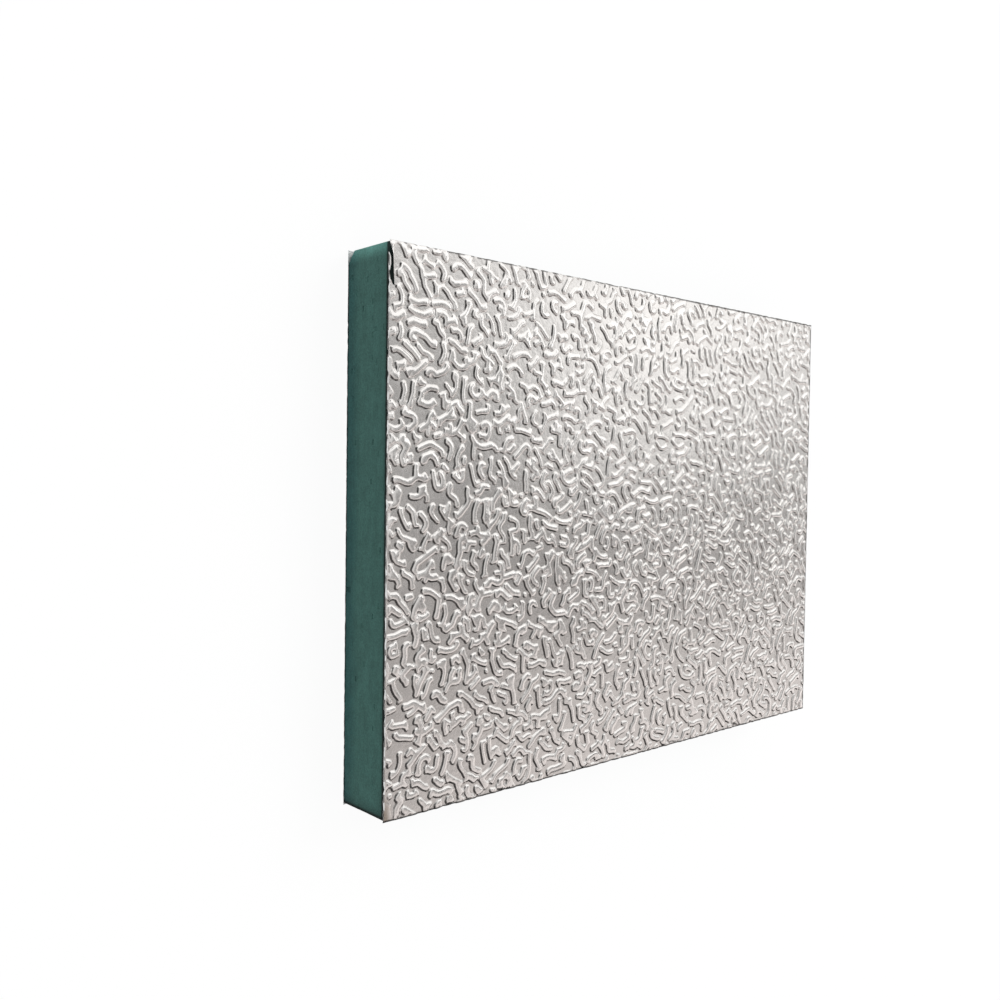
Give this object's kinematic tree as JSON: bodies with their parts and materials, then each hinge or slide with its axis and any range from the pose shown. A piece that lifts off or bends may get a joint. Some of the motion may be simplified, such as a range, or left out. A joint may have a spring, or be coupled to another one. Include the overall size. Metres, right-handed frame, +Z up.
{
  "type": "polyiso insulation board",
  "caption": "Flat rectangular rigid foam insulation board with embossed aluminium foil bonded to each face and sawn edges, one corner chipped.",
  "frame": {"origin": "middle of the board's underside, at the back facing's embossed crests", "axes": "+X along the length, towards the end away from the pictured cut end; +Y along the width; +Z up through the thickness, out of the front facing"},
  "size_m": [0.2, 0.15, 0.02],
  "materials": {
    "foam": "sawn closed-cell foam, teal-green, dull",
    "foil": "stucco-embossed foil, satin"
  },
  "bodies": {
    "root": {"foam_core": "foam", "front_facing": "foil", "back_facing": "foil"}
  },
  "joints": []
}
